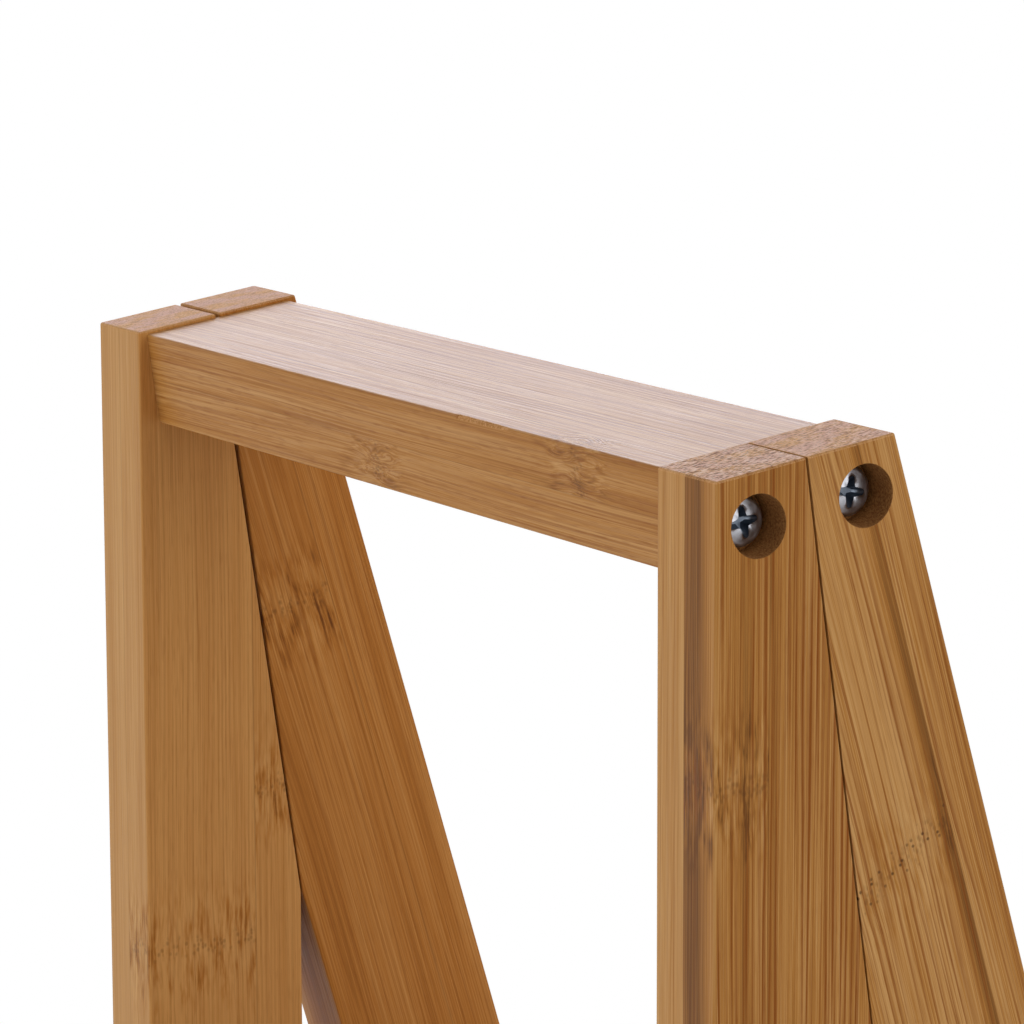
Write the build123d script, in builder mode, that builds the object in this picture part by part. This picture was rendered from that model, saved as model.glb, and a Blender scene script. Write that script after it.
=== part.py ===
from build123d import *
import math
import os

os.makedirs("parts", exist_ok=True)

# Driving dimensions, in millimetres and degrees.
# X runs across the shelf, the front is at -Y, and the seam of the two ladders is the plane Y = 0.

# Whole shelf
total_height = 900.0
clear_width = 178.0
tier_count = 4
lowest_tier_height = 80.0
top_bay_height = 205.0

# Leg boards
leg_width = 33.0
leg_thickness = 16.5
leg_lean = 8.3
apex_depth = 16.4
seam_gap = 0.6
seam_low_gap = 0.3
leg_round = 0.5
saw_allowance = 20.0

# Rails: the top one lies flat, the tier rails stand on edge
rail_thickness = 17.0
top_rail_setback = 1.55
top_rail_drop = 0.7
tier_rail_height = 28.0
tier_rail_setback = 2.5
top_rail_round = 0.5
tier_rail_ease = 0.8

# Slats, tenoned into the tier rails
slat_count = 6
slat_thickness = 9.0
slat_gap = 9.0
slat_lip = 5.0
slat_ease = 1.0
tenon_length = 8.0
tenon_shoulder = 2.5
tenon_cheek = 2.0
tenon_clearance = 0.1
mortise_end_gap = 0.6

# Pan-head screws, one through each leg into the end of each rail
screw_length = 38.0
screw_tip = 4.0
tip_diameter = 1.0
shank_diameter = 4.0
thread_diameter = 3.4
head_diameter = 8.2
head_height = 2.7
head_rim = 0.9
crown_taper = 40.0
head_sides = 12
shank_sides = 6
recess_margin = 1.6
recess_slot = 1.1
recess_depth = 1.8
recess_taper = 12.0
first_recess_turn = 4.0
recess_turn_step = -19.0
head_clearance = 0.9
shank_clearance = 0.25
pilot_clearance = 0.05
pilot_end_gap = 2.0
counterbore_depth = 6.8
top_screw_offset = 0.9
top_screw_rise = 0.35

# Worked out from the driving dimensions
lean = math.radians(leg_lean)
leg_depth = leg_width / math.cos(lean)
mitre_length = (leg_depth - apex_depth) / math.tan(lean)
seam_angle = math.atan((seam_gap - seam_low_gap) / 2 / mitre_length)
grip = leg_thickness - counterbore_depth
tip_taper = math.degrees(math.atan((thread_diameter - tip_diameter) / 2 / screw_tip))
pilot_depth = screw_length - grip + pilot_end_gap
pilot_radius = thread_diameter / 2 + pilot_clearance
top_rail_width = seam_gap + 2 * (apex_depth - top_rail_setback)
top_rail_top = total_height - top_rail_drop
tier_spacing = (total_height - lowest_tier_height - top_bay_height) / (tier_count - 1)
tier_tops = [lowest_tier_height + tier * tier_spacing for tier in range(tier_count)]
slat_width = (clear_width - (slat_count + 1) * slat_gap) / slat_count
slat_pitch = slat_width + slat_gap


def outer_face_y(z):
    # Half the depth of the shelf at height z, over the sloping outer faces of the legs
    return seam_gap / 2 + apex_depth + (total_height - z) * math.tan(lean)


def tier_rail_y(tier_top):
    # Middle of a tier rail, which hangs plumb behind the sloping face of its leg
    return outer_face_y(tier_top) - tier_rail_setback - rail_thickness / 2


def top_screw_place():
    # Screw of the top rail: just above halfway between the leg's top and the rail's underside,
    # and just outside the middle of the leg
    z = total_height - (top_rail_drop + rail_thickness) / 2 + top_screw_rise
    return (seam_gap / 2 + outer_face_y(z)) / 2 + top_screw_offset, z


def tier_screw_place(tier_top):
    # Screw of a tier rail: halfway between the undersides of the slats and of the rail
    z = tier_top - (slat_lip + slat_thickness + tier_rail_height) / 2
    return tier_rail_y(tier_top), z


screw_places = [top_screw_place()] + [tier_screw_place(tier_top) for tier_top in tier_tops]


# Legs: each is cut from a rounded board, sawn level at floor and top, and mitred at the seam
def make_leg(name, side_x, side_y):
    outer_x = side_x * (clear_width / 2 + leg_thickness)
    middle_x = side_x * (clear_width + leg_thickness) / 2
    low_y = outer_face_y(-saw_allowance) - leg_depth / 2
    board = Plane(
        origin=(middle_x, side_y * low_y, -saw_allowance),
        x_dir=(1, 0, 0),
        z_dir=(0, -side_y * math.sin(lean), math.cos(lean)),
    )
    seam = Plane(
        origin=(0, side_y * seam_gap / 2, total_height),
        x_dir=(1, 0, 0),
        z_dir=(0, side_y * math.cos(seam_angle), -math.sin(seam_angle)),
    )
    with BuildPart() as leg:
        with BuildSketch(board):
            RectangleRounded(leg_thickness, leg_width, leg_round)
        extrude(amount=(total_height + 2 * saw_allowance) / math.cos(lean))
        split(bisect_by=Plane.XY, keep=Keep.TOP)
        split(bisect_by=Plane.XY.offset(total_height), keep=Keep.BOTTOM)
        split(bisect_by=seam, keep=Keep.TOP)
        for y, z in screw_places:
            face = Plane(origin=(outer_x, side_y * y, z), x_dir=(0, 1, 0), z_dir=(side_x, 0, 0))
            with BuildSketch(face):
                Circle(head_diameter / 2 + head_clearance)
            extrude(amount=-counterbore_depth, mode=Mode.SUBTRACT)
            with BuildSketch(face):
                RegularPolygon(shank_diameter / 2 + shank_clearance, shank_sides, major_radius=False)
            extrude(amount=-leg_thickness, mode=Mode.SUBTRACT)
    leg.part.label = name
    export_step(leg.part, f"parts/{name}.step")


# Top rail: a flat board between the two pairs of legs, with a pilot hole for each of its four screws
def make_top_rail():
    screw_y, screw_z = top_screw_place()
    with BuildPart() as rail:
        with BuildSketch(Plane.YZ.offset(-clear_width / 2)):
            with Locations((0, top_rail_top - rail_thickness / 2)):
                RectangleRounded(top_rail_width, rail_thickness, top_rail_round)
        extrude(amount=clear_width)
        for side_x in (-1, 1):
            end = (side_x * clear_width / 2, 0, screw_z)
            with BuildSketch(Plane(origin=end, x_dir=(0, 1, 0), z_dir=(side_x, 0, 0))):
                with GridLocations(2 * screw_y, 2 * screw_y, 2, 1):
                    RegularPolygon(pilot_radius, shank_sides, major_radius=False)
            extrude(amount=-pilot_depth, mode=Mode.SUBTRACT)
    rail.part.label = "top_rail"
    export_step(rail.part, "parts/top_rail.step")


# Tier rails: boards on edge, with a mortise for each slat and a pilot hole in each end
def make_tier_rail(name, side_y, tier_top):
    rail_y = side_y * tier_rail_y(tier_top)
    inner_y = rail_y - side_y * rail_thickness / 2
    slat_z = tier_top - slat_lip - slat_thickness / 2
    screw_z = tier_screw_place(tier_top)[1]
    inner_face = Plane(origin=(0, inner_y, slat_z), x_dir=(1, 0, 0), z_dir=(0, -side_y, 0))
    with BuildPart() as rail:
        with BuildSketch(Plane.YZ.offset(-clear_width / 2)):
            with Locations((rail_y, tier_top - tier_rail_height / 2)):
                Rectangle(rail_thickness, tier_rail_height)
        extrude(amount=clear_width)
        chamfer(rail.edges().filter_by(Axis.X), length=tier_rail_ease)
        with BuildSketch(inner_face):
            with GridLocations(slat_pitch, slat_pitch, slat_count, 1):
                Rectangle(
                    slat_width - 2 * tenon_shoulder + 2 * tenon_clearance,
                    slat_thickness - 2 * tenon_cheek + 2 * tenon_clearance,
                )
        extrude(amount=-(tenon_length + mortise_end_gap), mode=Mode.SUBTRACT)
        for side_x in (-1, 1):
            end = (side_x * clear_width / 2, rail_y, screw_z)
            with BuildSketch(Plane(origin=end, x_dir=(0, 1, 0), z_dir=(side_x, 0, 0))):
                RegularPolygon(pilot_radius, shank_sides, major_radius=False)
            extrude(amount=-pilot_depth, mode=Mode.SUBTRACT)
    rail.part.label = name
    export_step(rail.part, f"parts/{name}.step")


# Slats: eased laths from front rail to rear rail, with a shouldered tenon at each end
def make_slat(name, slat_x, tier_top):
    shoulder_y = tier_rail_y(tier_top) - rail_thickness / 2
    slat_z = tier_top - slat_lip - slat_thickness / 2
    middle = Plane(origin=(slat_x, 0, slat_z), x_dir=(1, 0, 0), z_dir=(0, -1, 0))
    with BuildPart() as slat:
        with BuildSketch(middle):
            Rectangle(slat_width, slat_thickness)
        extrude(amount=shoulder_y, both=True)
        chamfer(slat.edges().filter_by(Axis.Y), length=slat_ease)
        with BuildSketch(middle):
            Rectangle(slat_width - 2 * tenon_shoulder, slat_thickness - 2 * tenon_cheek)
        extrude(amount=shoulder_y + tenon_length, both=True)
    slat.part.label = name
    export_step(slat.part, f"parts/{name}.step")


# Screws: a domed pan head with a tapered cross recess, a shank and a point, one in each of the four legs.
# There are many of them, so their rounds are drawn with few sides.
def make_screws(name, level, place):
    screw_y, screw_z = place
    seat = Plane(origin=(clear_width / 2 + grip, 0, screw_z), x_dir=(0, 1, 0), z_dir=(1, 0, 0))
    recess_span = head_diameter - 2 * recess_margin
    with BuildPart() as screws:
        with BuildSketch(seat):
            with Locations((-screw_y, 0), (screw_y, 0)):
                RegularPolygon(shank_diameter / 2, shank_sides)
        extrude(amount=-grip)
        with BuildSketch(seat.offset(-grip)):
            with Locations((-screw_y, 0), (screw_y, 0)):
                RegularPolygon(thread_diameter / 2, shank_sides)
        extrude(amount=-(screw_length - screw_tip - grip))
        with BuildSketch(seat.offset(screw_tip - screw_length)):
            with Locations((-screw_y, 0), (screw_y, 0)):
                RegularPolygon(thread_diameter / 2, shank_sides)
        extrude(amount=-screw_tip, taper=tip_taper)
        with BuildSketch(seat):
            with Locations((-screw_y, 0), (screw_y, 0)):
                RegularPolygon(head_diameter / 2, head_sides)
        extrude(amount=head_rim)
        with BuildSketch(seat.offset(head_rim)):
            with Locations((-screw_y, 0), (screw_y, 0)):
                RegularPolygon(head_diameter / 2, head_sides)
        extrude(amount=head_height - head_rim, taper=crown_taper)
        with BuildSketch(seat.offset(head_height)):
            for number, side_y in enumerate((-1, 1)):
                recess_turn = first_recess_turn + recess_turn_step * (2 * level + number)
                with Locations(Location((side_y * screw_y, 0), recess_turn)):
                    Rectangle(recess_span, recess_slot)
                    Rectangle(recess_slot, recess_span)
        extrude(amount=-recess_depth, taper=recess_taper, mode=Mode.SUBTRACT)
        mirror(about=Plane.YZ)
    screws.part.label = name
    export_step(screws.part, f"parts/{name}.step")


for leg_side, side_x in (("left", -1), ("right", 1)):
    for leg_row, side_y in (("front", -1), ("rear", 1)):
        make_leg(f"{leg_row}_{leg_side}_leg", side_x, side_y)

make_top_rail()
make_screws("top_rail_screws", 0, top_screw_place())

for tier, tier_top in enumerate(tier_tops, 1):
    make_tier_rail(f"tier_{tier}_front_rail", -1, tier_top)
    make_tier_rail(f"tier_{tier}_rear_rail", 1, tier_top)
    for number in range(slat_count):
        slat_x = (number - (slat_count - 1) / 2) * slat_pitch
        make_slat(f"tier_{tier}_slat_{number + 1}", slat_x, tier_top)
    make_screws(f"tier_{tier}_screws", tier, tier_screw_place(tier_top))
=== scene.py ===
import math

import bmesh
import bpy
from mathutils import Matrix, Vector


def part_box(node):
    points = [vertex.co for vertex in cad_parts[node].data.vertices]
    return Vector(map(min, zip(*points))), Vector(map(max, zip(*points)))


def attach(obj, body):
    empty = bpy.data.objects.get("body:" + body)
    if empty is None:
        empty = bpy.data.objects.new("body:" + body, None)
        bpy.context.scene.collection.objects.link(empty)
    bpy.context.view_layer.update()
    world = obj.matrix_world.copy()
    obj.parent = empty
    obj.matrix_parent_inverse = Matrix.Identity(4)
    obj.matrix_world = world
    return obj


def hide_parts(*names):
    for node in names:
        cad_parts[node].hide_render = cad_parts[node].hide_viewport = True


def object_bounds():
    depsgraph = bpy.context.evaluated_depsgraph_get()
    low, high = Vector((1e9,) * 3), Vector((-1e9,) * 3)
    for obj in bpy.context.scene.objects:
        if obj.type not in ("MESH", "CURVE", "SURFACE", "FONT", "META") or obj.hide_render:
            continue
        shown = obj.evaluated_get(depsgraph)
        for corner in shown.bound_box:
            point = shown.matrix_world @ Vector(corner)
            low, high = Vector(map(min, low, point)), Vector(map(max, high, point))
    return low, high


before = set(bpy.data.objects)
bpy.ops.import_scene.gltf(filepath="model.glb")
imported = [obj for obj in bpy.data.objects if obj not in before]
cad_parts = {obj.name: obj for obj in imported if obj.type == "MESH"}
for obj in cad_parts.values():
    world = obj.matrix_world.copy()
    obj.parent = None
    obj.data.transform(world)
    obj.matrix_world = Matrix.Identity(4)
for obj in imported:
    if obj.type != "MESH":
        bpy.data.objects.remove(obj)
cad_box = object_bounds()

# Legs
# Four boards of steamed, laminated bamboo, 33 x 16.5 mm, sawn level at floor and top and mitred where the
# two ladders meet. Each is pressed from two layers of strips, rounded along its edges and lacquered.
mm = 0.001
leg_width = 33 * mm
leg_thickness = 16.5 * mm
leg_lean = math.radians(8.3)
apex_depth = 16.4 * mm
seam_gap = 0.6 * mm
leg_round = 0.5 * mm
sawn_ease = 0.35 * mm
shelf_height = cad_box[1].z
leg_outer_x = cad_box[1].x

# What is in the wood itself is written in plain millimetres, such as how far apart the culm's nodes are
node_spacing = 290.0


def srgb(code):
    """A colour written as sRGB hex, in linear light for a shader socket."""
    parts = [int(code[place:place + 2], 16) / 255 for place in (1, 3, 5)]
    return [part / 12.92 if part <= 0.04045 else ((part + 0.055) / 1.055) ** 2.4 for part in parts] + [1]


def add_node(tree, kind, inputs, **settings):
    """Adds one shader node with its settings, values and links, and returns its outputs.

    Inputs go by the socket's name or, where sockets share a name, by its number."""
    node = tree.nodes.new("ShaderNode" + kind)
    for name, value in settings.items():
        setattr(node, name, value)
    for socket, value in inputs.items():
        if isinstance(value, bpy.types.NodeSocket):
            tree.links.new(value, node.inputs[socket])
        else:
            node.inputs[socket].default_value = value
    return node.outputs


def blank_material(name):
    """A new material with nothing in its node tree yet."""
    material = bpy.data.materials.new(name)
    material.use_nodes = True
    material.node_tree.nodes.clear()
    return material


def curled_grain(tree, board, chance, node_band, node_curl):
    """A point's place in its strip's own grain, which wanders along the board and curls round the node."""
    wander_width, wander_length, wander_reach = 33.3, 90.9, 1.6
    bend_width, bend_length = 3.33, 14.3
    # Each strip comes from its own place in the culm, so its own chance shifts what is in it
    wander_shift, strip_shift = (40, 40, 40), (60, 60, 600)
    wander_place = add_node(tree, "VectorMath", {
        0: board, 1: (1 / wander_width, 1 / wander_width, 1 / wander_length)}, operation="MULTIPLY")[0]
    wander_place = add_node(tree, "VectorMath", {0: chance, 1: wander_shift, 2: wander_place},
                            operation="MULTIPLY_ADD")[0]
    wander = add_node(tree, "TexNoise", {"Vector": wander_place, "Scale": 1.0, "Detail": 0.0})["Color"]
    grain = add_node(tree, "VectorMath", {0: wander, 1: (wander_reach, wander_reach, 0), 2: board},
                     operation="MULTIPLY_ADD")[0]
    bend_place = add_node(tree, "VectorMath", {
        0: board, 1: (1 / bend_width, 1 / bend_width, 1 / bend_length)}, operation="MULTIPLY")[0]
    bend = add_node(tree, "TexNoise", {"Vector": bend_place, "Scale": 1.0, "Detail": 0.0})["Color"]
    bend = add_node(tree, "VectorMath", {0: bend, 1: (0.5, 0.5, 0.5)}, operation="SUBTRACT")[0]
    curl = add_node(tree, "VectorMath", {0: bend, 1: (node_curl, node_curl, 0)}, operation="MULTIPLY")[0]
    curl = add_node(tree, "VectorMath", {0: curl, "Scale": node_band}, operation="SCALE")[0]
    grain = add_node(tree, "VectorMath", {0: grain, 1: curl}, operation="ADD")[0]
    return add_node(tree, "VectorMath", {0: chance, 1: strip_shift, 2: grain}, operation="MULTIPLY_ADD")[0]


def vessel_lines(tree, grain, line_pitch, line_peak):
    """The vessels along a strip, as a coarse set of lines and a fine one, each line of uneven strength.

    A line shades up to its darkest, at line_peak of its pitch, and falls off to the next."""
    drift_width, drift_length, drift_reach = 4.545, 100.0, 2.6
    slant = (0.6, 0.8)
    rise_pitches, strength_pitches, strength_length = 0.4, 10 / 7, 55.0
    fine_pitches, fine_share = 0.43, 0.7
    drift_place = add_node(tree, "VectorMath", {
        0: grain, 1: (1 / drift_width, 1 / drift_width, 1 / drift_length)}, operation="MULTIPLY")[0]
    drift = add_node(tree, "TexNoise", {"Vector": drift_place, "Scale": 1.0, "Detail": 2.0})[0]
    sets = []
    for pitch, thinned in ((line_pitch, 0.1), (fine_pitches * line_pitch, 0.4)):
        vessel = add_node(tree, "VectorMath", {0: grain, 1: (slant[0] / pitch, slant[1] / pitch, 0)},
                          operation="DOT_PRODUCT")["Value"]
        vessel = add_node(tree, "Math", {0: drift, 1: drift_reach, 2: vessel}, operation="MULTIPLY_ADD")[0]
        vessel = add_node(tree, "Math", {0: vessel}, operation="FRACT")[0]
        rise = add_node(tree, "MapRange", {0: vessel, 1: line_peak - rise_pitches, 2: line_peak})[0]
        fall = add_node(tree, "MapRange", {0: vessel, 1: line_peak, 2: 1.0, 3: 1.0, 4: 0.0})[0]
        line = add_node(tree, "Math", {0: rise, 1: fall}, operation="MULTIPLY")[0]
        width = strength_pitches * pitch
        strength_place = add_node(tree, "VectorMath", {
            0: grain, 1: (1 / width, 1 / width, 1 / strength_length)}, operation="MULTIPLY")[0]
        strength = add_node(tree, "TexNoise", {"Vector": strength_place, "Scale": 1.0, "Detail": 1.0})[0]
        strength = add_node(tree, "MapRange", {0: strength, 1: 0.36, 2: 0.64, 3: -thinned, 4: 1.0})[0]
        strength = add_node(tree, "Math", {0: strength, 1: 0.0}, operation="MAXIMUM")[0]
        sets.append(add_node(tree, "Math", {0: line, 1: strength}, operation="MULTIPLY")[0])
    coarse, fine = sets
    return add_node(tree, "Math", {0: fine, 1: fine_share, 2: coarse}, operation="MULTIPLY_ADD",
                    use_clamp=True)[0]


def sawn_end(tree, board, grain, torn_share):
    """The colour of a sawn end: each fibre bundle is a dark dot in ground from pinkish grey to straw, and
    the saw has torn the bundles into short slanting strokes. The pinkish grey is painted sheen."""
    bundle_pitch, bundle_share = 0.45, 0.8
    stroke_width, stroke_length, stroke_turn = 0.3125, 1.11, math.radians(35)
    ground_depth, ground_width = 5.0, 8.33
    pinkish_painted_sheen, straw, dark_bundle, pale_fibre = "#DDAE95", "#DBA56C", "#75482A", "#F3D9C8"
    bundle = add_node(tree, "TexVoronoi", {"Vector": grain, "Scale": 1 / bundle_pitch})["Distance"]
    bundle = add_node(tree, "MapRange", {0: bundle, 1: 0.15, 2: 0.6, 3: 0.5, 4: -0.1})[0]
    stroke_place = add_node(tree, "Mapping", {"Vector": board, "Rotation": (0, 0, stroke_turn),
                                              "Scale": (1 / stroke_width, 1 / stroke_length, 1.0)})[0]
    torn = add_node(tree, "TexNoise", {"Vector": stroke_place, "Scale": 1.0, "Detail": 3.0})[0]
    torn = add_node(tree, "MapRange", {0: torn, 1: 0.35, 2: 0.65, 3: -torn_share, 4: torn_share})[0]
    bundle = add_node(tree, "Math", {0: bundle, 1: torn}, operation="ADD")[0]
    ground_place = add_node(tree, "VectorMath", {0: board, 1: (1 / ground_depth, 1 / ground_width, 0)},
                            operation="MULTIPLY")[0]
    ground = add_node(tree, "TexNoise", {"Vector": ground_place, "Scale": 1.0, "Detail": 2.0})[0]
    ground = add_node(tree, "MapRange", {0: ground, 1: 0.4, 2: 0.6})[0]
    # The ground goes in patches from straw to a pinkish grey that is painted sheen
    wood = add_node(tree, "Mix", {0: ground, 6: srgb(pinkish_painted_sheen), 7: srgb(straw)}, data_type="RGBA")[2]
    for share, colour in ((bundle_share, dark_bundle), (-bundle_share, pale_fibre)):
        shows = add_node(tree, "Math", {0: bundle, 1: share}, operation="MULTIPLY", use_clamp=True)[0]
        wood = add_node(tree, "Mix", {0: shows, 6: wood, 7: srgb(colour)}, data_type="RGBA")[2]
    return wood


def bamboo(name, place, layer_cut, layer, strip_cut, strip, node_at, node_tilt=0.0, node_layer_step=0.0,
           node_strip_step=0.0, node_scatter=0.0, node_curl=2.0, node_crust=0.4, node_dash=0.4,
           pinholes=0.0, rind=0.0, strip_rind=0.0, tone=0.5, outer_tone=0.0, edge_tone=0.0, inner_face_shading=0.0,
           bounce_warmth=0.0, line_pitch=0.8, line_peak=0.6, line_share=0.8, edge_lines=0.45, pores=0.12,
           figure=1.0, torn_share=1.0, seed=0.0, finish="laminated"):
    """Laminated bamboo for a board at place, whose axes are its thickness, its width and its grain.

    Layers lie across the thickness and strips across the width, each cut at the given place and that wide.
    node_at is where the node of strip 0 in layer 0 crosses the grain. All lengths are in millimetres.
    tone runs from 0, pale, to 1, dark, and the other tones and the rinds add to it in their part of the
    board. The tone and warm tint given to the inner face alone are painted light and shade, with a warm
    cast as of light bounced between the legs. The remaining shares say how strongly each mark shows.
    A laminated face is lacquered. A sawn end, a drilled wall, an eased edge and a torn edge are bare. The
    drilled wall's darkness is partly painted shade, and the eased edge's paleness partly a painted
    highlight."""
    ragged_width, ragged_length, ragged_height = 2.38, 8.33, 7.0
    curl_core, curl_reach = 1.5, 10.0
    dash_core, dash_reach = 3.0, 17.0
    crust_core, crust_reach = 0.4, 2.6
    pinhole_core, pinhole_reach, pinhole_spacing = 0.8, 3.2, 2.22
    speck_width, speck_length = 0.833, 1.111
    rind_from, rind_to = -0.5, 5.0
    strip_rind_from, strip_rind_to = 0.3, 3.0
    inner_face_depth = 16.2
    edge_from, edge_to = 0.3, 0.8
    glue_core, fuzz_size = 0.05, 0.35
    pale_culm, middle_culm, dark_culm, painted_bounce_tint = "#CE9F64", "#AE7636", "#6A4015", "#FFEFD6"
    vessel_brown, crust_brown, pinhole_brown = "#85480F", "#54300F", "#4A2A12"
    pale_wall, dark_wall_and_painted_shade, pale_bare_edge_and_highlight = "#B07C48", "#7E5229", "#D9A878"

    material = blank_material(name)
    tree = material.node_tree

    # Board coordinates, then which layer and strip a point is in and that strip's own chances
    hand = -1 if place.determinant() < 0 else 1
    to_board = place.inverted()
    turn = to_board.to_3x3() @ Matrix.Diagonal((hand, 1, 1))
    whole = add_node(tree, "TexCoord", {})["Object"]
    board = add_node(tree, "Mapping", {
        "Vector": whole, "Location": to_board.translation / mm, "Rotation": turn.to_euler("XYZ"),
        "Scale": (hand / mm, 1 / mm, 1 / mm)})[0]
    depth, across, along = add_node(tree, "SeparateXYZ", {0: board})
    layer_place = add_node(tree, "Math", {0: depth, 1: 1 / layer, 2: -layer_cut / layer},
                           operation="MULTIPLY_ADD")[0]
    strip_place = add_node(tree, "Math", {0: across, 1: 1 / strip, 2: -strip_cut / strip},
                           operation="MULTIPLY_ADD")[0]
    layer_number = add_node(tree, "Math", {0: layer_place}, operation="FLOOR")[0]
    strip_number = add_node(tree, "Math", {0: strip_place}, operation="FLOOR")[0]
    lamella = add_node(tree, "CombineXYZ", {0: layer_number, 1: strip_number, 2: seed})[0]
    chance = add_node(tree, "TexWhiteNoise", {"Vector": lamella}, noise_dimensions="3D")["Color"]
    tone_chance, _, node_chance = add_node(tree, "SeparateXYZ", {0: chance})

    # Distance along the grain from the strip's node, ragged where the fibres cross it
    node_line = add_node(tree, "Math", {0: across, 1: node_tilt, 2: along}, operation="MULTIPLY_ADD")[0]
    for number, step in ((layer_number, node_layer_step), (strip_number, node_strip_step),
                         (node_chance, node_scatter)):
        node_line = add_node(tree, "Math", {0: number, 1: -step, 2: node_line}, operation="MULTIPLY_ADD")[0]
    ragged_place = add_node(tree, "VectorMath", {
        0: board, 1: (1 / ragged_width, 1 / ragged_width, 1 / ragged_length)}, operation="MULTIPLY")[0]
    ragged = add_node(tree, "TexNoise", {"Vector": ragged_place, "Scale": 1.0, "Detail": 2.0})[0]
    node_line = add_node(tree, "Math", {0: ragged, 1: ragged_height, 2: node_line},
                         operation="MULTIPLY_ADD")[0]
    node_line = add_node(tree, "Math", {0: node_line, 1: node_at + ragged_height / 2},
                         operation="SUBTRACT")[0]
    from_node = add_node(tree, "Math", {0: node_line, 1: node_spacing / 2, 2: -node_spacing / 2},
                         operation="WRAP")[0]
    node_reach = add_node(tree, "Math", {0: from_node}, operation="ABSOLUTE")[0]
    node_band = add_node(tree, "MapRange", {0: node_reach, 1: curl_core, 2: curl_reach, 3: 1.0, 4: 0.0},
                         interpolation_type="SMOOTHSTEP")[0]

    # Vessel lines run the length of the strip. Finer fibres lie between them, with slow streaks of tone a
    # few vessels wide, short open pores, and the dashes into which the fibres break up round the node.
    grain = curled_grain(tree, board, chance, node_band, node_curl)
    line = vessel_lines(tree, grain, line_pitch, line_peak)
    marks = {}
    for mark, width, length, detail, faint, full in (
            ("fibre", 0.2, 50.0, 1.0, 0.32, 0.68), ("streak", 3.2, 160.0, 3.0, 0.3, 0.7),
            ("pore", 0.32, 4.0, 0.0, 0.58, 0.72), ("dash", 0.55, 5.0, 3.0, 0.35, 0.65)):
        mark_place = add_node(tree, "VectorMath", {0: grain, 1: (1 / width, 1 / width, 1 / length)},
                              operation="MULTIPLY")[0]
        noise = add_node(tree, "TexNoise", {"Vector": mark_place, "Scale": 1.0, "Detail": detail})[0]
        marks[mark] = add_node(tree, "MapRange", {0: noise, 1: faint, 2: full})[0]
    fibre, streak, pore, dash = marks.values()

    # The dashes are some dark and some pale, in patches, with dark smudges
    dash = add_node(tree, "Math", {0: dash, 1: 0.5}, operation="SUBTRACT")[0]
    dash_band = add_node(tree, "MapRange", {0: node_reach, 1: dash_core, 2: dash_reach, 3: 1.0, 4: 0.0},
                         interpolation_type="SMOOTHSTEP")[0]
    patch = add_node(tree, "MapRange", {0: ragged, 1: 0.4, 2: 0.62, 3: 0.2 * node_dash, 4: node_dash})[0]
    smudge = add_node(tree, "MapRange", {
        0: ragged, 1: 0.36, 2: 0.66, 3: -0.2 * node_dash, 4: 0.4 * node_dash})[0]
    dash = add_node(tree, "Math", {0: dash, 1: patch, 2: smudge}, operation="MULTIPLY_ADD")[0]
    dash = add_node(tree, "Math", {0: dash, 1: dash_band}, operation="MULTIPLY")[0]

    # Tone of the strip, from pale honey to caramel, darker towards the rind at a glue line
    streak_share, fibre_share, chance_share = 0.36 * figure, 0.3 * figure, 0.1
    mean_share = (streak_share + fibre_share + chance_share) / 2
    in_rind = add_node(tree, "MapRange", {
        0: depth, 1: rind_from, 2: rind_to, 3: outer_tone, 4: outer_tone + rind},
        interpolation_type="SMOOTHSTEP")[0]
    outer_layer = add_node(tree, "Math", {0: depth, 1: layer_cut}, operation="LESS_THAN")[0]
    edge_strip = add_node(tree, "Math", {0: across, 1: strip_cut}, operation="LESS_THAN")[0]
    # The inner face's own tone is painted light and shade
    inner_face = add_node(tree, "Math", {0: depth, 1: inner_face_depth}, operation="GREATER_THAN")[0]
    past_strip_line = add_node(tree, "Math", {0: strip_place}, operation="FRACT")[0]
    at_strip_line = add_node(tree, "MapRange", {
        0: past_strip_line, 1: strip_rind_from / strip, 2: strip_rind_to / strip, 3: 1.0, 4: 0.0},
        interpolation_type="SMOOTHSTEP")[0]
    shade = tone - mean_share
    for part, share in ((tone_chance, chance_share), (streak, streak_share), (fibre, fibre_share),
                        (dash, 1.0), (in_rind, outer_layer), (at_strip_line, strip_rind),
                        (edge_strip, edge_tone), (inner_face, inner_face_shading)):
        shade = add_node(tree, "Math", {0: part, 1: share, 2: shade}, operation="MULTIPLY_ADD")[0]
    wood = add_node(tree, "ValToRGB", {0: shade})["Color"]
    ramp = wood.node.color_ramp
    ramp.elements[0].color = srgb(pale_culm)
    ramp.elements[1].color = srgb(dark_culm)
    ramp.elements.new(0.5).color = srgb(middle_culm)
    # Painted warm light, as if bounced between the legs, tints the inner face
    painted_bounce = add_node(tree, "Math", {0: inner_face, 1: bounce_warmth}, operation="MULTIPLY")[0]
    wood = add_node(tree, "Mix", {0: painted_bounce, 6: wood, 7: srgb(painted_bounce_tint)}, data_type="RGBA",
                    blend_type="MULTIPLY")[2]

    # Lines and pores stain it brown, more faintly on the board's narrow edge
    on_face = add_node(tree, "MapRange", {0: across, 1: edge_from, 2: edge_to, 3: edge_lines, 4: 1.0})[0]
    on_face = add_node(tree, "Math", {0: node_band, 1: on_face}, operation="MAXIMUM")[0]
    stain = add_node(tree, "Math", {0: line, 1: line_share}, operation="MULTIPLY")[0]
    stain = add_node(tree, "Math", {0: pore, 1: pores, 2: stain}, operation="MULTIPLY_ADD")[0]
    stain = add_node(tree, "Math", {0: stain, 1: on_face}, operation="MULTIPLY", use_clamp=True)[0]

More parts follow.
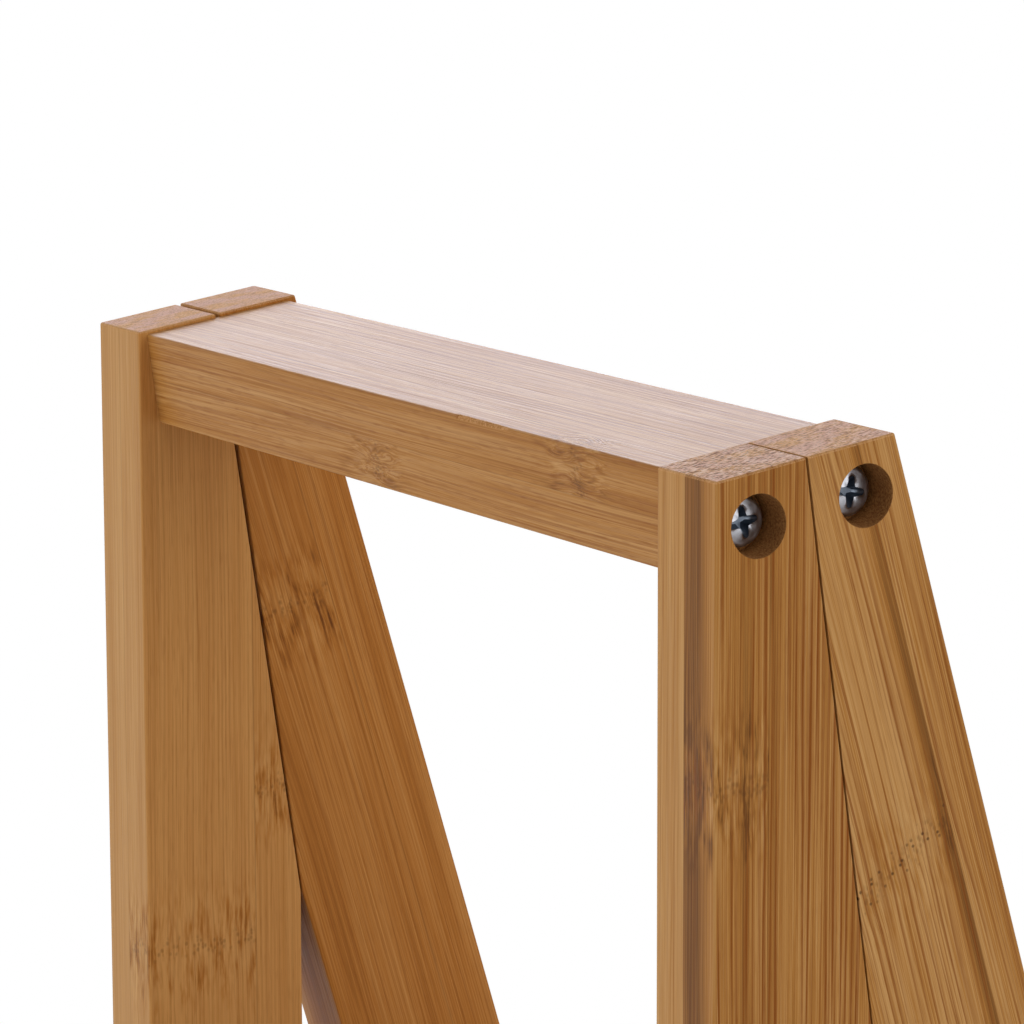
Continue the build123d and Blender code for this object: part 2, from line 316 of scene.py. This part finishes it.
    # The node itself is a thin ragged crust of dark specks, with pinholes where roots started
    speck_place = add_node(tree, "VectorMath", {
        0: board, 1: (1 / speck_width, 1 / speck_width, 1 / speck_length)}, operation="MULTIPLY")[0]
    speck = add_node(tree, "TexVoronoi", {"Vector": speck_place, "Scale": 1.0})["Distance"]
    speck = add_node(tree, "MapRange", {0: speck, 1: 0.2, 2: 0.55, 3: 1.0, 4: 0.0})[0]
    crust = add_node(tree, "MapRange", {
        0: node_reach, 1: crust_core, 2: crust_reach, 3: node_crust, 4: 0.0},
        interpolation_type="SMOOTHSTEP")[0]
    crust = add_node(tree, "Math", {0: crust, 1: speck}, operation="MULTIPLY")[0]
    pinhole_place = add_node(tree, "CombineXYZ", {0: across, 1: along})[0]
    pinhole = add_node(tree, "TexVoronoi", {"Vector": pinhole_place, "Scale": 1 / pinhole_spacing},
                       voronoi_dimensions="2D")["Distance"]
    pinhole = add_node(tree, "MapRange", {0: pinhole, 1: 0.07, 2: 0.16, 3: pinholes, 4: 0.0})[0]
    pinhole_band = add_node(tree, "MapRange", {
        0: node_reach, 1: pinhole_core, 2: pinhole_reach, 3: 1.0, 4: 0.0})[0]
    pinhole = add_node(tree, "Math", {0: pinhole, 1: pinhole_band}, operation="MULTIPLY")[0]
    shown = [(stain, vessel_brown), (crust, crust_brown), (pinhole, pinhole_brown)]

    # Glue lines between the layers and between the strips
    for line_place, spacing, width, share in ((layer_place, layer, 0.16, 0.2),
                                              (strip_place, strip, 0.2, 0.28)):
        to_line = add_node(tree, "Math", {0: line_place, 1: 1.0}, operation="PINGPONG")[0]
        glue = add_node(tree, "MapRange", {
            0: to_line, 1: glue_core / spacing, 2: width / spacing, 3: share, 4: 0.0})[0]
        shown.append((glue, crust_brown))
    for share, colour in shown:
        wood = add_node(tree, "Mix", {0: share, 6: wood, 7: srgb(colour)}, data_type="RGBA")[2]

    # A drill leaves the wall bare, fuzzy and dark, its darkness partly painted shade in the hole, and a saw
    # leaves the edge beside its cut bare and pale, its paleness partly a painted highlight
    if finish == "sawn":
        wood = sawn_end(tree, board, grain, torn_share)
    if finish in ("drilled", "worn_and_highlit"):
        fuzz = add_node(tree, "TexNoise", {"Vector": board, "Scale": 1 / fuzz_size, "Detail": 2.0})[0]
    # The drilled wall is mostly the darker colour, which is partly painted shade inside the hole
    if finish == "drilled":
        fuzz = add_node(tree, "MapRange", {0: fuzz, 1: 0.35, 2: 0.65, 3: 0.2, 4: 1.0})[0]
        wood = add_node(tree, "Mix", {0: fuzz, 6: srgb(pale_wall), 7: srgb(dark_wall_and_painted_shade)},
                        data_type="RGBA")[2]
    # An eased sawn edge goes pale and bare, its paleness partly a painted highlight; a torn splinter goes
    # pale and bare too
    if finish == "worn_and_highlit":
        fuzz = add_node(tree, "MapRange", {0: fuzz, 1: 0.35, 2: 0.65, 3: 0.1, 4: 0.65})[0]
        wood = add_node(tree, "Mix", {0: fuzz, 6: wood, 7: srgb(pale_bare_edge_and_highlight)}, data_type="RGBA")[2]

    # Satin lacquer lets the grain be felt through it, most at the node. Bare wood is duller
    lacquer, smooth, rough = (0.08, 0.34, 0.46) if finish == "laminated" else (0.0, 0.62, 0.75)
    node_raise, crust_dip, pore_dip, grain_height = 6.0, -1.5, -2.0, 0.1 * mm
    gloss = add_node(tree, "MapRange", {0: fibre, 3: smooth, 4: rough})[0]
    height = add_node(tree, "Math", {0: fibre, 1: line}, operation="SUBTRACT")[0]
    raised = add_node(tree, "Math", {0: node_band, 1: node_raise, 2: 1.0}, operation="MULTIPLY_ADD")[0]
    height = add_node(tree, "Math", {0: height, 1: raised}, operation="MULTIPLY")[0]
    height = add_node(tree, "Math", {0: crust, 1: crust_dip, 2: height}, operation="MULTIPLY_ADD")[0]
    height = add_node(tree, "Math", {0: pore, 1: pore_dip * pores, 2: height}, operation="MULTIPLY_ADD")[0]
    relief = add_node(tree, "Bump", {"Strength": 0.2, "Distance": grain_height, "Height": height})[0]
    surface = add_node(tree, "BsdfPrincipled", {
        "Base Color": wood, "Roughness": gloss, "Normal": relief, "IOR": 1.5, "Specular IOR Level": 0.08,
        "Coat Weight": lacquer, "Coat Roughness": 0.25})[0]
    add_node(tree, "OutputMaterial", {"Surface": surface})
    return material


def skin(place, rings):
    """A closed solid through rings of points in place's axes, each with as many points as the last."""
    bm = bmesh.new()
    loops = [[bm.verts.new(place @ Vector(point)) for point in ring] for ring in rings]
    for below, above in zip(loops, loops[1:]):
        for number in range(len(below)):
            bm.faces.new((below[number - 1], below[number], above[number], above[number - 1]))
    bm.faces.new(loops[0])
    bm.faces.new(loops[-1])
    bmesh.ops.recalc_face_normals(bm, faces=bm.faces)
    return bm


def rounded_board(place, thickness, width, radius, start, end):
    """A board with rounded long edges, along place's third axis from start to end."""
    steps = 6
    ring = []
    for turn, centre in enumerate(((thickness - radius, width - radius), (radius, width - radius),
                                   (radius, radius), (thickness - radius, radius))):
        for step in range(steps + 1):
            angle = math.radians(90 * (turn + step / steps))
            ring.append((centre[0] + radius * math.cos(angle), centre[1] + radius * math.sin(angle)))
    return skin(place, [[(x, y, start) for x, y in ring], [(x, y, end) for x, y in ring]])


def saw(bm, point, normal):
    """Takes off what lies on the normal's side of a plane, and closes the cut."""
    parts = bm.verts[:] + bm.edges[:] + bm.faces[:]
    cut = bmesh.ops.bisect_plane(bm, geom=parts, plane_co=point, plane_no=normal, clear_outer=True)
    edges = [part for part in cut["geom_cut"] if isinstance(part, bmesh.types.BMEdge)]
    bmesh.ops.edgeloop_fill(bm, edges=edges)


def ease(bm, width):
    """Breaks the sharp edges, as sanding does."""
    sharp_angle = math.radians(40)
    sharp = [edge for edge in bm.edges if edge.calc_face_angle(0) > sharp_angle]
    bmesh.ops.bevel(bm, geom=sharp, offset=width, segments=3, profile=0.5, affect="EDGES")


def circle(radius, height, sides):
    """One turn of points about the third axis, from half a right angle before the first axis."""
    turns = [math.tau * (side / sides - 1 / 8) for side in range(sides)]
    return [(radius * math.cos(turn), radius * math.sin(turn), height) for turn in turns]


def carve(bm, cutters):
    """Takes the cutters' solids out of a piece."""
    solids = []
    for solid in [bm, *cutters]:
        mesh = bpy.data.meshes.new("carving")
        solid.to_mesh(mesh)
        solid.free()
        solids.append(bpy.data.objects.new("carving", mesh))
        bpy.context.scene.collection.objects.link(solids[-1])
    for cutter in solids[1:]:
        cut = solids[0].modifiers.new("cut", "BOOLEAN")
        cut.object = cutter
        cut.operation = "DIFFERENCE"
        cut.solver = "EXACT"
    carved = bmesh.new()
    carved.from_object(solids[0], bpy.context.evaluated_depsgraph_get())
    for solid in solids:
        bpy.data.meshes.remove(solid.data)
    return carved


def add_piece(name, bm, materials, slot, *nodes):
    """Turns a finished mesh into a piece of the shelf that stands for these CAD nodes."""
    crease_angle = math.radians(50)
    mesh = bpy.data.meshes.new(name)
    bm.to_mesh(mesh)
    bm.free()
    mesh.polygons.foreach_set("use_smooth", [True] * len(mesh.polygons))
    mesh.set_sharp_from_angle(angle=crease_angle)
    for material in materials:
        mesh.materials.append(material)
    piece = bpy.data.objects.new(name, mesh)
    bpy.context.scene.collection.objects.link(piece)
    flats = piece.modifiers.new("flat_faces_stay_flat", "WEIGHTED_NORMAL")
    flats.keep_sharp = True
    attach(piece, "root")
    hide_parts(*nodes)


# Sunk screw holes are drilled at the screws' own places in the frame, with the rim just broken
counterbore_radius = 5.0 * mm
counterbore_depth = 6.8 * mm
rim_ease = 0.06 * mm
drill_overshoot = 1 * mm
drill_sides = 64
drill_profile = ((counterbore_radius + rim_ease + drill_overshoot, -drill_overshoot),
                 (counterbore_radius + rim_ease, 0), (counterbore_radius, rim_ease),
                 (counterbore_radius, counterbore_depth))
screw_nodes = ["top_rail_screws"] + [f"tier_{tier}_screws" for tier in (1, 2, 3, 4)]

# The mitres meet tightly on the right, and stand open a little with worn edges on the left
mitre_length = (leg_width / math.cos(leg_lean) - apex_depth) / math.tan(leg_lean)
seams = {"left": dict(top=0.85 * mm, low=0.3 * mm, ease=0.35 * mm),
         "right": dict(top=0.42 * mm, low=0.3 * mm, ease=0.06 * mm)}

# What the photograph shows of each leg's wood: where strips and layers meet, and where nodes cross
leg_timber = {
    "front_right_leg": dict(
        layer_cut=8.6, strip_cut=10.0, node_at=-233.0, node_layer_step=-75.0, node_strip_step=-110.0,
        node_curl=0.8, node_crust=0.4, node_dash=0.8, rind=0.42, tone=0.25, outer_tone=0.17,
        line_pitch=0.95, line_share=1.0, edge_lines=0.25, figure=1.05, torn_share=1.3, seed=3.0),
    "rear_right_leg": dict(
        layer_cut=8.2, strip_cut=7.1, node_at=29.4, node_tilt=0.31, node_layer_step=90.0,
        node_strip_step=130.0, node_curl=0.8, node_crust=0.3, node_dash=0.35, pinholes=0.8,
        strip_rind=0.45, tone=0.31, edge_tone=0.04, line_pitch=1.3, line_peak=0.88, line_share=0.8,
        torn_share=0.8, seed=8.0),
    # The left legs' inner faces carry painted light and shade in their tone, and a painted warm tint of
    # bounced light
    "front_left_leg": dict(
        layer_cut=8.2, strip_cut=23.0, node_at=-90.0, node_layer_step=100.0, node_strip_step=29.0,
        node_curl=1.0, node_dash=0.7, tone=0.24, inner_face_shading=-0.12, bounce_warmth=0.8, line_share=0.3, figure=0.55,
        torn_share=0.3, seed=5.0),
    "rear_left_leg": dict(
        layer_cut=8.2, strip_cut=10.0, node_at=-57.0, node_layer_step=-80.0, node_strip_step=120.0,
        node_curl=1.0, node_dash=0.7, tone=0.42, inner_face_shading=0.03, bounce_warmth=1.0, line_pitch=1.05,
        line_peak=0.85, line_share=0.5, figure=0.8, torn_share=0.3, seed=12.0),
}
leg_layer = 9.0
leg_strip = 24.0
leg_finishes = ("laminated", "sawn", "drilled", "worn_and_highlit")
level_normal = 0.98
eased_normal = 0.2
spare_length = 0.1 * shelf_height

for side_name, side_x in (("left", -1), ("right", 1)):
    seam = seams[side_name]
    seam_angle = math.atan((seam["top"] - seam["low"]) / 2 / mitre_length)
    for row_name, side_y in (("front", -1), ("rear", 1)):
        name = f"{row_name}_{side_name}_leg"
        outer_top = Vector((side_x * leg_outer_x, side_y * (seam_gap / 2 + apex_depth), shelf_height))
        inward = Vector((0, -side_y * math.cos(leg_lean), -math.sin(leg_lean)))
        upward = Vector((0, -side_y * math.sin(leg_lean), math.cos(leg_lean)))
        place = Matrix.Identity(4)
        for column, axis in enumerate((Vector((-side_x, 0, 0)), inward, upward, outer_top)):
            place.col[column].xyz = axis

        # The board is cut long, sawn level at both ends and eased, then mitred against its partner
        leg = rounded_board(place, leg_thickness, leg_width, leg_round,
                            -shelf_height - spare_length, spare_length)
        saw(leg, (0, 0, 0), (0, 0, -1))
        saw(leg, (0, 0, shelf_height), (0, 0, 1))
        ease(leg, sawn_ease)
        saw(leg, (0, side_y * seam["top"] / 2, shelf_height),
            (0, -side_y * math.cos(seam_angle), math.sin(seam_angle)))
        ease(leg, seam["ease"])
        holes, drills = [], []
        for node in screw_nodes:
            low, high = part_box(node)
            head_radius = (high.z - low.z) / 2
            hole = Vector((side_x * leg_outer_x, side_y * (high.y - head_radius), low.z + head_radius))
            holes.append(hole)
            axis = Matrix.Translation(hole) @ Matrix.Rotation(-side_x * math.pi / 2, 4, "Y")
            drills.append(skin(axis, [circle(*station, drill_sides) for station in drill_profile]))
        leg = carve(leg, drills)

        # Each face shows what made it: the drill, the saw, wear on a sawn edge, or the press. The drilled
        # wall's darkness is partly painted shade, and the eased edge's paleness partly a painted highlight.
        for face in leg.faces:
            middle = face.calc_center_median()
            from_hole = min((hole - middle).yz.length for hole in holes)
            below_face = leg_outer_x - abs(middle.x)
            sunk = 0.3 * rim_ease < below_face < 0.5 * leg_thickness
            if sunk and from_hole < counterbore_radius + rim_ease:
                finish = "drilled"
            elif abs(face.normal.z) > level_normal:
                finish = "sawn"
            elif abs(face.normal.z) > eased_normal:
                finish = "worn_and_highlit"
            else:
                finish = "laminated"
            face.material_index = leg_finishes.index(finish)
        timbers = [bamboo(f"{finish}_bamboo_{name}", place, layer=leg_layer, strip=leg_strip, finish=finish,
                          **leg_timber[name]) for finish in leg_finishes]
        add_piece(f"{name}_board", leg, timbers, "bamboo_leg", name)

# Top rail
# A flat board of the same bamboo laid between the leg tops, two layers thick, its long edges rounded.
# Its lacquered top catches the pale studio at a low angle, and a splinter has come off its front edge.
top_rail_round = 0.5 * mm
low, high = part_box("top_rail")
rail_place = Matrix(((0, 0, 1, low.x), (0, 1, 0, low.y), (-1, 0, 0, high.z), (0, 0, 0, 1)))
rail = rounded_board(rail_place, high.z - low.z, high.y - low.y, top_rail_round, 0, high.x - low.x)

# The splinter was three-sided, thickest at its root, and ran out along the edge
splinter_root = 25.0 * mm - low.x
splinter_tip = 44.0 * mm - low.x
splinter_taper = 5 * mm
splinter_stations = ((splinter_root, 0.75 * mm), (splinter_tip - splinter_taper, 0.6 * mm),
                     (splinter_tip, 0.1 * mm))
splinter_slack = 0.1 * mm
torn_normal = 0.95
splinter = [[(2 * size, -0.8 * size, along), (-size, -0.8 * size, along), (-size, 1.6 * size, along)]
            for along, size in splinter_stations]
rail = carve(rail, [skin(rail_place, splinter)])
for face in rail.faces:
    along = face.calc_center_median().x - low.x
    beside = splinter_root - splinter_slack < along < splinter_tip
    if beside and max(face.normal.z, -face.normal.y) < torn_normal:
        face.material_index = 1
rail_layout = dict(layer_cut=8.5, layer=9.0, strip_cut=5.0, strip=40.0, node_at=167.5, seed=21.0)
timbers = [bamboo("laminated_bamboo_top_rail", rail_place, node_layer_step=-67.5, node_strip_step=84.0,
                  node_curl=5.0, node_dash=0.5, tone=0.385, line_share=0.65, edge_lines=0.8, pores=0.26,
                  figure=0.8, **rail_layout),
           bamboo("torn_bamboo_top_rail", rail_place, finish="worn_and_highlit", **rail_layout)]
add_piece("top_rail_board", rail, timbers, "bamboo_rail", "top_rail")

# Screws
# Zinc-plated pan-head wood screws, one sunk through each leg into the end of each rail, turned home by
# hand so that each cross recess stops at its own angle. The plating is dull, and the recess painted dark as
# shade.
head_height = 2.7 * mm
head_shoulder = 0.9 * mm
dome_rise = 0.45 * mm
screw_length = 38 * mm
point_length = 4 * mm
plain_length = leg_thickness - counterbore_depth
point_radius = 0.4 * mm
thread_radius = 1.7 * mm
shank_radius = 2.0 * mm
recess_reach = 2.7 * mm
recess_width = 1.15 * mm
recess_core = 0.85 * mm
first_recess_turn = 4.0
recess_turn_step = -19.0

# Going down the recess, its share of its full size and its depth there
recess_stations = ((0.95, 0.1 * mm), (0.8, 0.9 * mm), (0.5, 1.8 * mm))


def zinc(name, dull, bright):
    """Electroplated zinc: smooth grey metal with cloudy patches and fine pits."""
    cloud_size, pit_size, pit_depth = 1.4 * mm, 0.2 * mm, 0.02 * mm
    smooth, rough = 0.3, 0.48
    material = blank_material(name)
    tree = material.node_tree
    whole = add_node(tree, "TexCoord", {})["Object"]
    cloud = add_node(tree, "TexNoise", {"Vector": whole, "Scale": 1 / cloud_size, "Detail": 3.0})[0]
    plating = add_node(tree, "Mix", {0: cloud, 6: srgb(dull), 7: srgb(bright)}, data_type="RGBA")[2]
    polish = add_node(tree, "MapRange", {0: cloud, 1: 0.3, 2: 0.7, 3: smooth, 4: rough})[0]
    pits = add_node(tree, "TexNoise", {"Vector": whole, "Scale": 1 / pit_size, "Detail": 2.0})[0]
    relief = add_node(tree, "Bump", {"Strength": 0.15, "Distance": pit_depth, "Height": pits})[0]
    surface = add_node(tree, "BsdfPrincipled", {"Base Color": plating, "Metallic": 1.0, "Roughness": polish,
                                                "Normal": relief})[0]
    add_node(tree, "OutputMaterial", {"Surface": surface})
    return material


def cross_recess(share):
    """The outline of the recess at a share of its size: four round-ended arms that widen into a core."""
    side_steps, end_steps = 3, 6
    reach, half, core = recess_reach * share, recess_width / 2 * share, recess_core * share
    tip = reach - half
    sides = [(core + (tip - core) * step / side_steps, core + (half - core) * step / side_steps)
             for step in range(side_steps)]
    end = [(tip + half * math.cos(turn), half * math.sin(turn))
           for turn in (math.radians(180 * step / end_steps - 90) for step in range(end_steps + 1))]
    arm = [(x, -y) for x, y in sides] + end + sides[:0:-1]
    quarters = [math.pi / 2 * quarter for quarter in range(4)]
    return [(x * math.cos(turn) - y * math.sin(turn), x * math.sin(turn) + y * math.cos(turn))
            for turn in quarters for x, y in arm]


# The second zinc is painted darker, as the shade inside the cross recess
zincs = [zinc("zinc_plated_steel", "#909197", "#C6C7CD"),
         zinc("zinc_painted_shade_in_the_recess", "#505762", "#87909C")]
recess_mouth = cross_recess(1.0)
for tier, node in enumerate(screw_nodes):
    low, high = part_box(node)
    head_radius = (high.z - low.z) / 2
    dome_radius = head_radius - head_shoulder
    profile = [(point_radius, -screw_length), (thread_radius, point_length - screw_length),
               (thread_radius, -plain_length), (shank_radius, -plain_length), (shank_radius, 0),
               (head_radius, 0)]
    for angle in (math.radians(degrees) for degrees in range(0, 91, 15)):
        profile.append((dome_radius + head_shoulder * math.cos(angle),
                        head_height - dome_rise + head_shoulder * (math.sin(angle) - 1)))
    rings = [circle(*station, len(recess_mouth)) for station in profile]

    # The dome's rings go over from the round shoulder to the mouth of the recess
    shoulder = rings[-1]
    for mouth_share in (0.1, 0.55, 1.0):
        ring = []
        for rim, mouth in zip(shoulder, recess_mouth):
            x, y = (rim[axis] + (mouth[axis] - rim[axis]) * mouth_share for axis in (0, 1))
            ring.append((x, y, head_height - dome_rise * (x * x + y * y) / dome_radius ** 2))
        rings.append(ring)

    # Below its lip the recess takes a darker zinc, painted as the shade inside the recess
    rings_above_painted_shade = len(rings)
    for share, depth in recess_stations:
        rings.append([(x, y, head_height - depth) for x, y in cross_recess(share)])
    screws = bmesh.new()
    for side_x in (-1, 1):
        for number, side_y in enumerate((-1, 1)):
            seat = Vector((side_x * (leg_outer_x - counterbore_depth), side_y * (high.y - head_radius),
                           low.z + head_radius))
            turn = math.radians(first_recess_turn + recess_turn_step * (2 * tier + number))
            axis = Matrix.Translation(seat) @ Matrix.Rotation(side_x * math.pi / 2, 4, "Y")
            screw = skin(axis @ Matrix.Rotation(turn, 4, "Z"), rings)
            screw.faces.ensure_lookup_table()
            for face in screw.faces[rings_above_painted_shade * len(recess_mouth):]:
                face.material_index = 1
            turned = bpy.data.meshes.new("turned_screw")
            screw.to_mesh(turned)
            screw.free()
            screws.from_mesh(turned)
            bpy.data.meshes.remove(turned)
    add_piece(f"{node}_zinc", screws, zincs, "zinc_screw", node)

# Tier rails
# A bamboo board on edge at the front and back of each tier, lacquered and rounded like the legs, screwed
# between them at its ends, with the slats let into its inner face.
tier_rail_round = 0.8 * mm
low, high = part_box("tier_1_front_rail")
tier_spacing = (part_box("tier_2_front_rail")[1].z - high.z) / mm

# Each tier counts as a layer and each row as a strip, so that every rail has its own figure and nodes
row_strip = 160.0
rail_place = Matrix(((0, 0, 1, low.x), (0, 1, 0, 0), (-1, 0, 0, shelf_height), (0, 0, 0, 1)))
rail_timber = bamboo("laminated_bamboo_tier_rail", rail_place, layer_cut=0.0, layer=tier_spacing,
                     strip_cut=0.0, strip=row_strip, node_at=40.0, node_scatter=node_spacing, tone=0.46,
                     seed=31.0)
for tier in (1, 2, 3, 4):
    for row in ("front", "rear"):
        node = f"tier_{tier}_{row}_rail"
        low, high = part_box(node)
        place = Matrix.Translation((low.x, low.y, high.z)) @ rail_place.to_3x3().to_4x4()
        rail = rounded_board(place, high.z - low.z, high.y - low.y, tier_rail_round, 0, high.x - low.x)
        add_piece(f"{node}_board", rail, [rail_timber], "bamboo_rail", node)

# Slats
# Six bamboo laths from front rail to rear rail on each tier, with eased edges and open gaps between them.
# They are held by tenons in the rails, which the rails hide.
slat_round = 1.0 * mm
tenon_length = 8 * mm
low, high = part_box("tier_1_slat_1")
slat_pitch = (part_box("tier_1_slat_2")[0].x - low.x) / mm

# Each slat counts as a strip, cut in the middle of the gap before it
gap_middle = -4.5
slat_place = Matrix(((0, 1, 0, low.x), (0, 0, 1, 0), (-1, 0, 0, shelf_height), (0, 0, 0, 1)))
slat_timber = bamboo("laminated_bamboo_slat", slat_place, layer_cut=0.0, layer=tier_spacing,
                     strip_cut=gap_middle, strip=slat_pitch, node_at=20.0, node_scatter=node_spacing,
                     tone=0.44, seed=41.0)
for tier in (1, 2, 3, 4):
    for number in range(1, 7):
        node = f"tier_{tier}_slat_{number}"
        low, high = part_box(node)
        place = Matrix.Translation((low.x, low.y + tenon_length, high.z)) @ slat_place.to_3x3().to_4x4()
        slat = rounded_board(place, high.z - low.z, high.x - low.x, slat_round,
                             0, high.y - low.y - 2 * tenon_length)
        add_piece(f"{node}_lath", slat, [slat_timber], "bamboo_slat", node)

# Floor and studio
# A plain white floor that keeps the shelf's soft shadow, in an even white studio. Soft lights stand on the
# right and in front, higher than the shelf, and a bright paper wall behind shows in the lacquer of the top.
floor_size = 12.0
shadow_core, shadow_reach, shadow_glow = 0.35, 1.1, 0.35


def seen_rays(tree):
    """1 for what the camera sees, straight or by way of metal or glass, and 0 for what lights the shelf."""
    rays = add_node(tree, "LightPath", {})
    seen = add_node(tree, "Math", {0: rays["Is Camera Ray"], 1: rays["Is Glossy Ray"]},
                    operation="MAXIMUM")[0]
    return add_node(tree, "Math", {0: seen, 1: rays["Is Transmission Ray"]}, operation="MAXIMUM")[0]


floor_mesh = bpy.data.meshes.new("studio_floor")
corners = [(x * floor_size / 2, y * floor_size / 2, 0) for x, y in ((-1, -1), (1, -1), (1, 1), (-1, 1))]
floor_mesh.from_pydata(corners, [], [(0, 1, 2, 3)])
floor = bpy.data.objects.new("studio_floor", floor_mesh)
bpy.context.scene.collection.objects.link(floor)

# Matt white paper, which shows the shadow under the shelf and goes over to plain white further off
paper = blank_material("white_studio_paper")
tree = paper.node_tree
whole = add_node(tree, "TexCoord", {})["Object"]
away = add_node(tree, "VectorMath", {0: whole}, operation="LENGTH")["Value"]
far = add_node(tree, "MapRange", {0: away, 1: shadow_core, 2: shadow_reach, 3: shadow_glow, 4: 1.0},
               interpolation_type="SMOOTHSTEP")[0]
far = add_node(tree, "Math", {0: far, 1: seen_rays(tree)}, operation="MULTIPLY")[0]
matt = add_node(tree, "BsdfDiffuse", {"Color": srgb("#F2F2F2")})[0]
glow = add_node(tree, "Emission", {"Color": srgb("#FFFFFF"), "Strength": 1.0})[0]
blend = add_node(tree, "MixShader", {0: far, 1: matt, 2: glow})[0]
add_node(tree, "OutputMaterial", {"Surface": blend})
floor_mesh.materials.append(paper)

# The studio's walls give more light than its ceiling, and all of it looks white
wall_level = 0.62
ceiling_level = 0.15
ceiling_from = 0.8
studio = bpy.data.worlds.new("white_studio")
bpy.context.scene.world = studio
studio.use_nodes = True
tree = studio.node_tree
tree.nodes.clear()
towards = add_node(tree, "TexCoord", {})["Generated"]
upward = add_node(tree, "SeparateXYZ", {0: towards})[2]
level = add_node(tree, "MapRange", {0: upward, 1: 0.0, 2: ceiling_from, 3: wall_level, 4: ceiling_level})[0]
level = add_node(tree, "Mix", {0: seen_rays(tree), 2: level, 3: 1.0})[0]
sky = add_node(tree, "Background", {"Color": srgb("#FFFFFF"), "Strength": level})[0]
add_node(tree, "OutputWorld", {"Surface": sky})

for name, size, energy, colour, place, aim in (
        ("soft_light_on_the_right", 2.3, 24.0, "#FFFFFF", (1.85, 0.8, 1.75), (0, 0, 0.85)),
        ("soft_light_in_front", 2.6, 25.5, "#FFFFFF", (-0.6, -2.0, 1.4), (0, 0, 0.85)),
        ("paper_wall_behind", 1.3, 16.8, "#F1F3FF", (-1.27, 0.71, 1.27), (0, 0, 0.9))):
    light_data = bpy.data.lights.new(name, "AREA")
    light_data.size = size
    light_data.energy = energy
    light_data.color = srgb(colour)[:3]
    light = bpy.data.objects.new(name, light_data)
    light.location = place
    light.rotation_euler = (Vector(aim) - Vector(place)).to_track_quat("-Z", "Y").to_euler()
    bpy.context.scene.collection.objects.link(light)

# Camera
# A long lens close to the top of the shelf, above it and to its right, tipped a little to the side.
camera_data = bpy.data.cameras.new("photo_camera")
camera_data.lens = 165.67
camera_data.sensor_width = 36.0
camera_data.clip_start = 0.01
camera = bpy.data.objects.new("photo_camera", camera_data)
camera_place = Vector((0.690198, -0.381338, 1.074070))
camera_aim = Vector((0.008391, 0.002318, 0.875782))
camera_roll = math.radians(-7.5066)
look = (camera_aim - camera_place).to_track_quat("-Z", "Y").to_matrix().to_4x4()
camera.matrix_world = Matrix.Translation(camera_place) @ look @ Matrix.Rotation(camera_roll, 4, "Z")
bpy.context.scene.collection.objects.link(camera)
bpy.context.scene.camera = camera
bpy.context.scene.view_settings.view_transform = "Standard"
